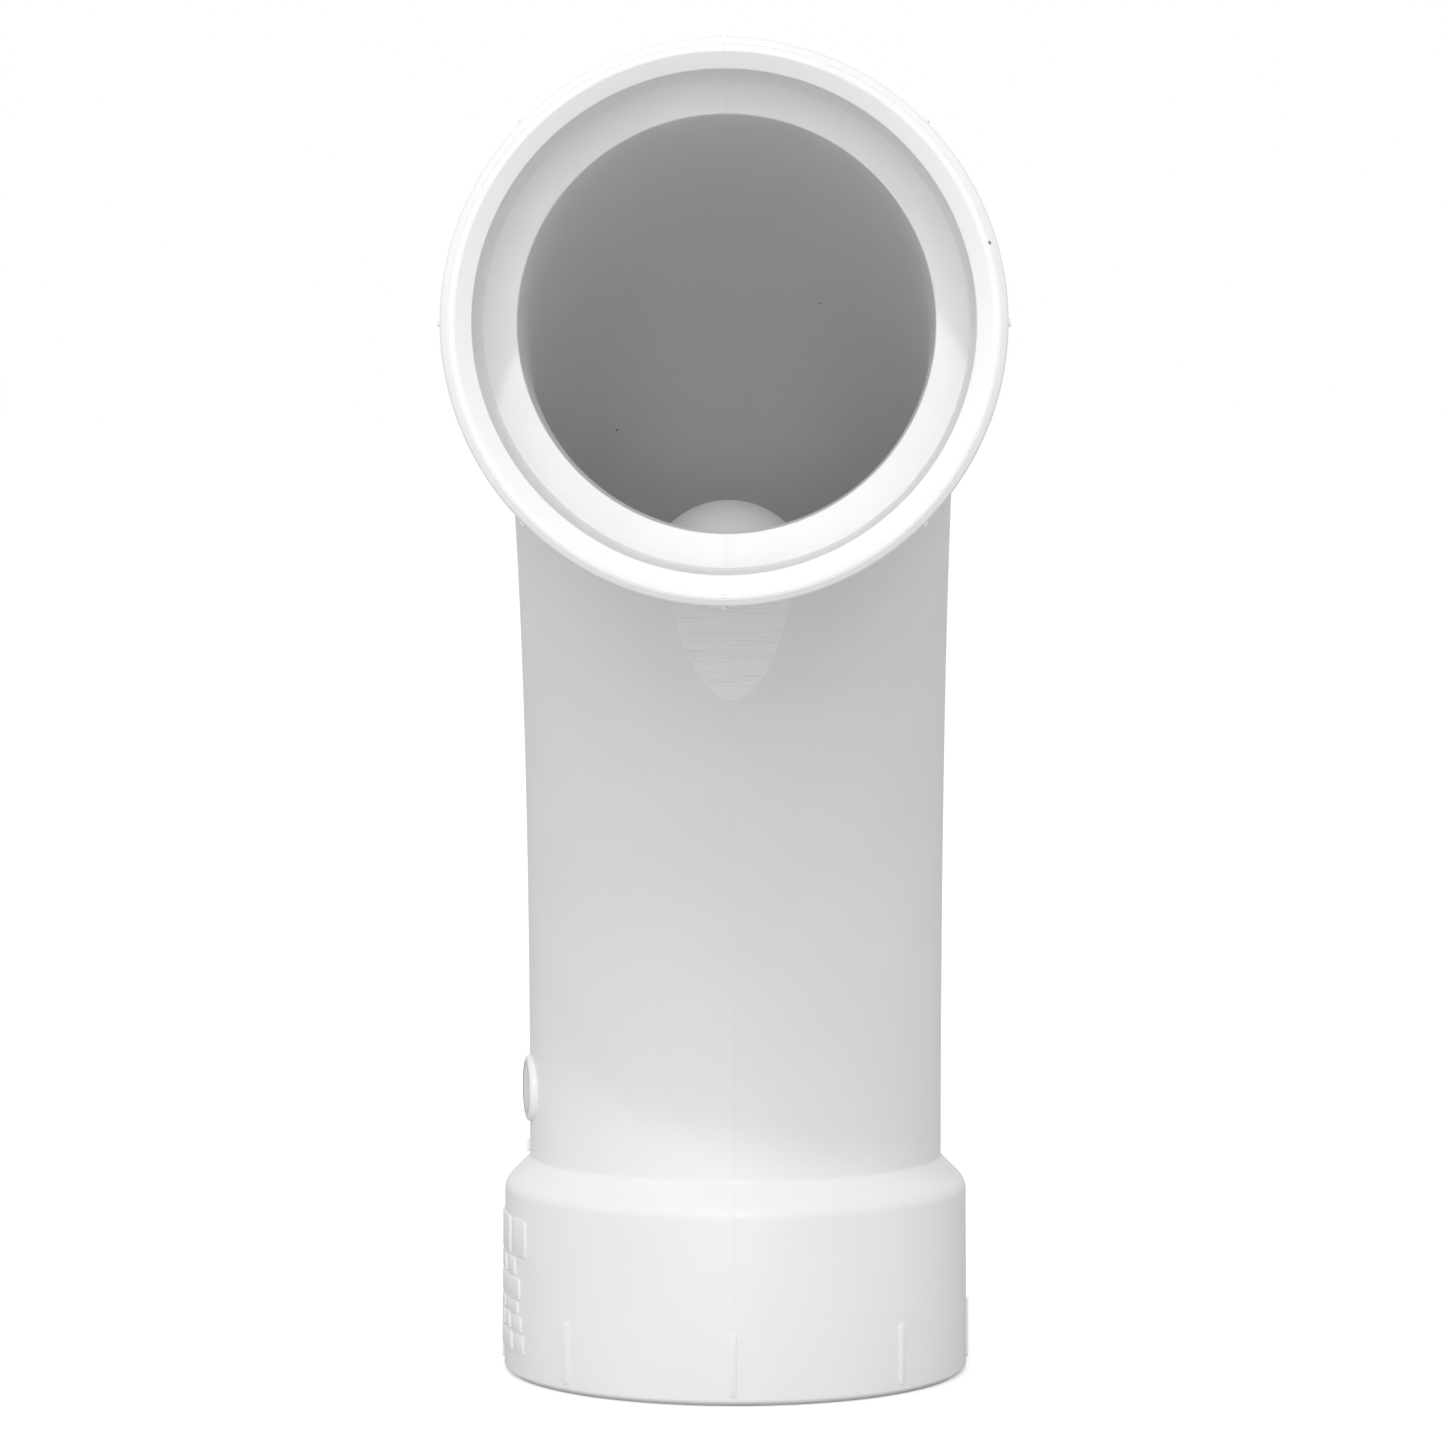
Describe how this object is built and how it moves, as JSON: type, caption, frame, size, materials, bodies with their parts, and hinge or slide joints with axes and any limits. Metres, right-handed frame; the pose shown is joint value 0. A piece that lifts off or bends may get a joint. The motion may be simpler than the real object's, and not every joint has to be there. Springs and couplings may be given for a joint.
{
  "type": "pvc conduit elbow",
  "caption": "Long-sweep 90 degree PVC conduit elbow with a belled solvent-cement socket at each end, pipe stops and alignment ribs.",
  "frame": {"origin": "centre of the outlet socket's pipe stop", "axes": "the outlet faces -Z and the inlet faces -Y; X = 0 is the moulding's parting plane, and the side pad and marking bars are on -X"},
  "size_m": [0.1012, 0.2751, 0.2751],
  "materials": {
    "white_pvc": "injection moulded, satin"
  },
  "bodies": {
    "root": {"outlet_socket_barrel": "white_pvc", "outlet_stop_shoulder": "white_pvc", "outlet_neck": "white_pvc", "outlet_sweep": "white_pvc", "inlet_sweep": "white_pvc", "inlet_neck": "white_pvc", "inlet_stop_shoulder": "white_pvc", "inlet_socket_barrel": "white_pvc", "outlet_alignment_ribs": "white_pvc", "inlet_alignment_ribs": "white_pvc", "throat_boss": "white_pvc", "side_pad": "white_pvc", "side_nub": "white_pvc", "marking_bars": "white_pvc"}
  },
  "joints": []
}
